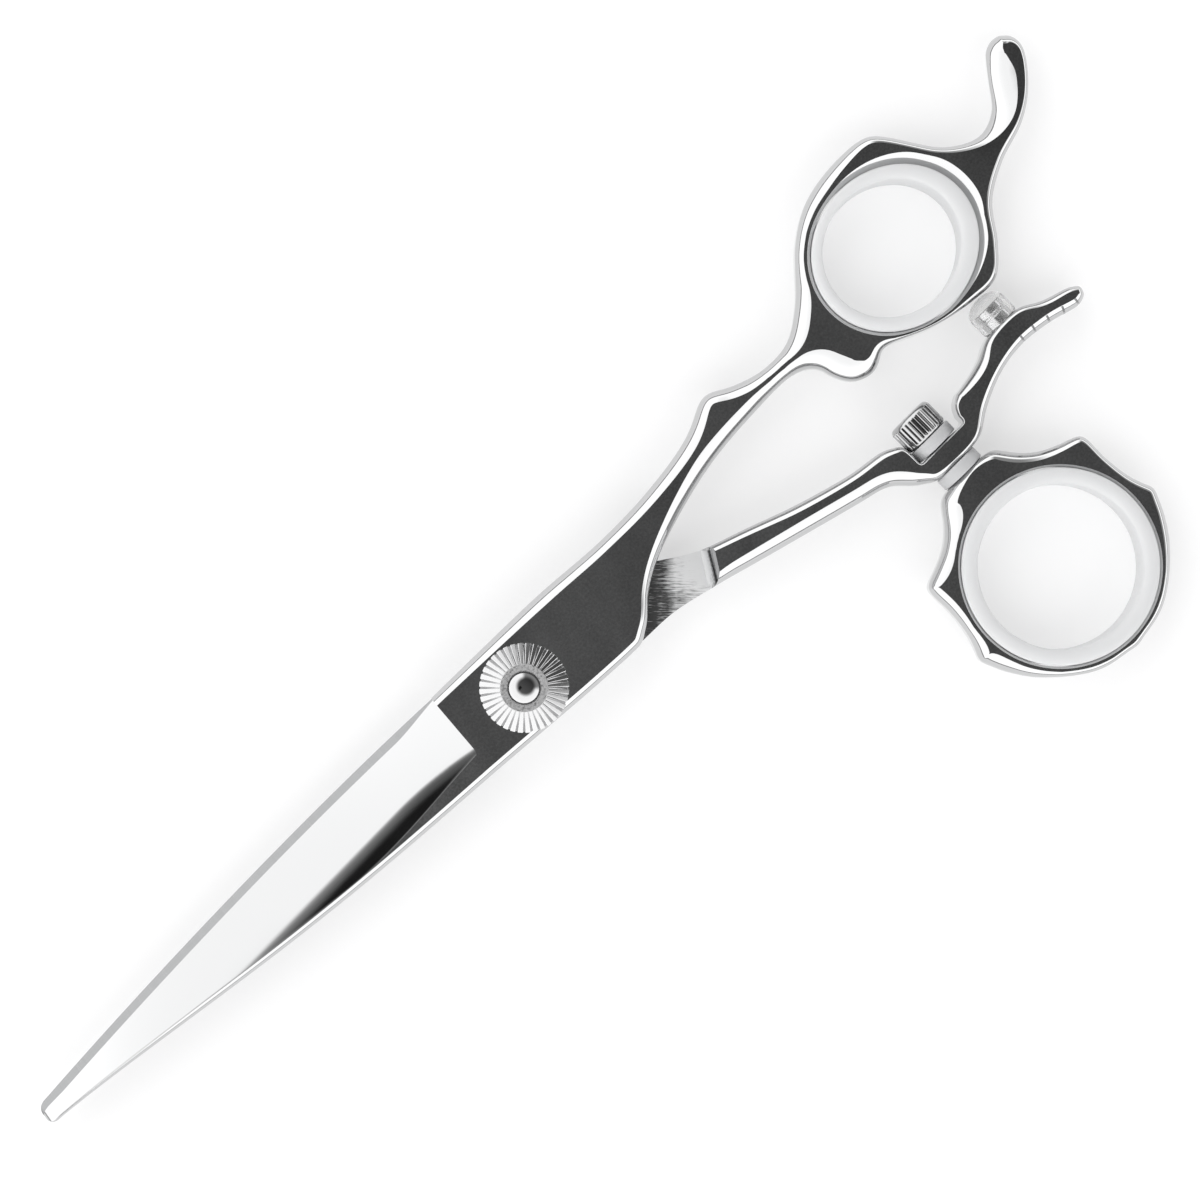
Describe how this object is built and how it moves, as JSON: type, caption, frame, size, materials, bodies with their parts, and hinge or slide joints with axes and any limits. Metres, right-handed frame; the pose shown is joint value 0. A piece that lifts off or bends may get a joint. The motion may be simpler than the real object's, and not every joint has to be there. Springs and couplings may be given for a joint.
{
  "type": "hair cutting shears",
  "caption": "Hair cutting shears with convex blades, an offset finger handle with a curved tang, a swivelling thumb ring, a tension dial and soft ring inserts.",
  "frame": {"origin": "on the pivot axis, at the flat underside of the pivot bolt's head, which the shears rest on", "axes": "+X from the pivot towards the blade tips, +Y towards the thumb ring, +Z out of the tension dial"},
  "size_m": [0.166, 0.0635, 0.0086],
  "materials": {
    "polished_steel": "mirror-polished stainless steel",
    "hardware_steel": "turned and polished stainless steel",
    "spring_steel": "satin spring steel",
    "bush_brass": "turned brass",
    "white_nylon": "frosted white nylon",
    "frosted_silicone": "frosted translucent silicone",
    "clear_silicone": "clear silicone"
  },
  "bodies": {
    "finger_side": {"finger_blade": "polished_steel", "finger_insert": "frosted_silicone", "pivot_bush": "bush_brass", "ride_washer": "white_nylon"},
    "thumb_side": {"thumb_blade": "polished_steel", "pivot_bolt": "hardware_steel", "wave_spring": "spring_steel", "thrust_washer": "white_nylon", "click_plate": "spring_steel", "dial_lock_screw": "hardware_steel", "swivel_bush": "white_nylon", "bumper_stud": "hardware_steel", "bumper_pad": "clear_silicone"},
    "dial": {"tension_dial": "hardware_steel"},
    "thumb_ring": {"thumb_ring": "polished_steel", "thumb_insert": "frosted_silicone", "swivel_stud": "hardware_steel", "swivel_washer_outer": "white_nylon", "swivel_washer_inner": "white_nylon"},
    "knob": {"swivel_knob": "hardware_steel"}
  },
  "joints": [
    {"name": "blade_pivot", "type": "hinge", "parent": "finger_side", "child": "thumb_side", "pos_m": [0, 0, 0.0034], "axis": [0, 0, -1], "range_deg": [0, 90]},
    {"name": "thumb_swivel", "type": "hinge", "parent": "thumb_side", "child": "thumb_ring", "pos_m": [-0.05288, 0.0175, 0.0034], "axis": [0, 1, 0], "continuous": true},
    {"name": "dial_turn", "type": "hinge", "parent": "thumb_side", "child": "dial", "pos_m": [0, 0, 0.007], "axis": [0, 0, 1], "range_deg": [-180, 180]},
    {"name": "knob_turn", "type": "hinge", "parent": "thumb_ring", "child": "knob", "pos_m": [-0.05288, 0.0107, 0.0034], "axis": [0, 1, 0], "range_deg": [-180, 180]}
  ]
}
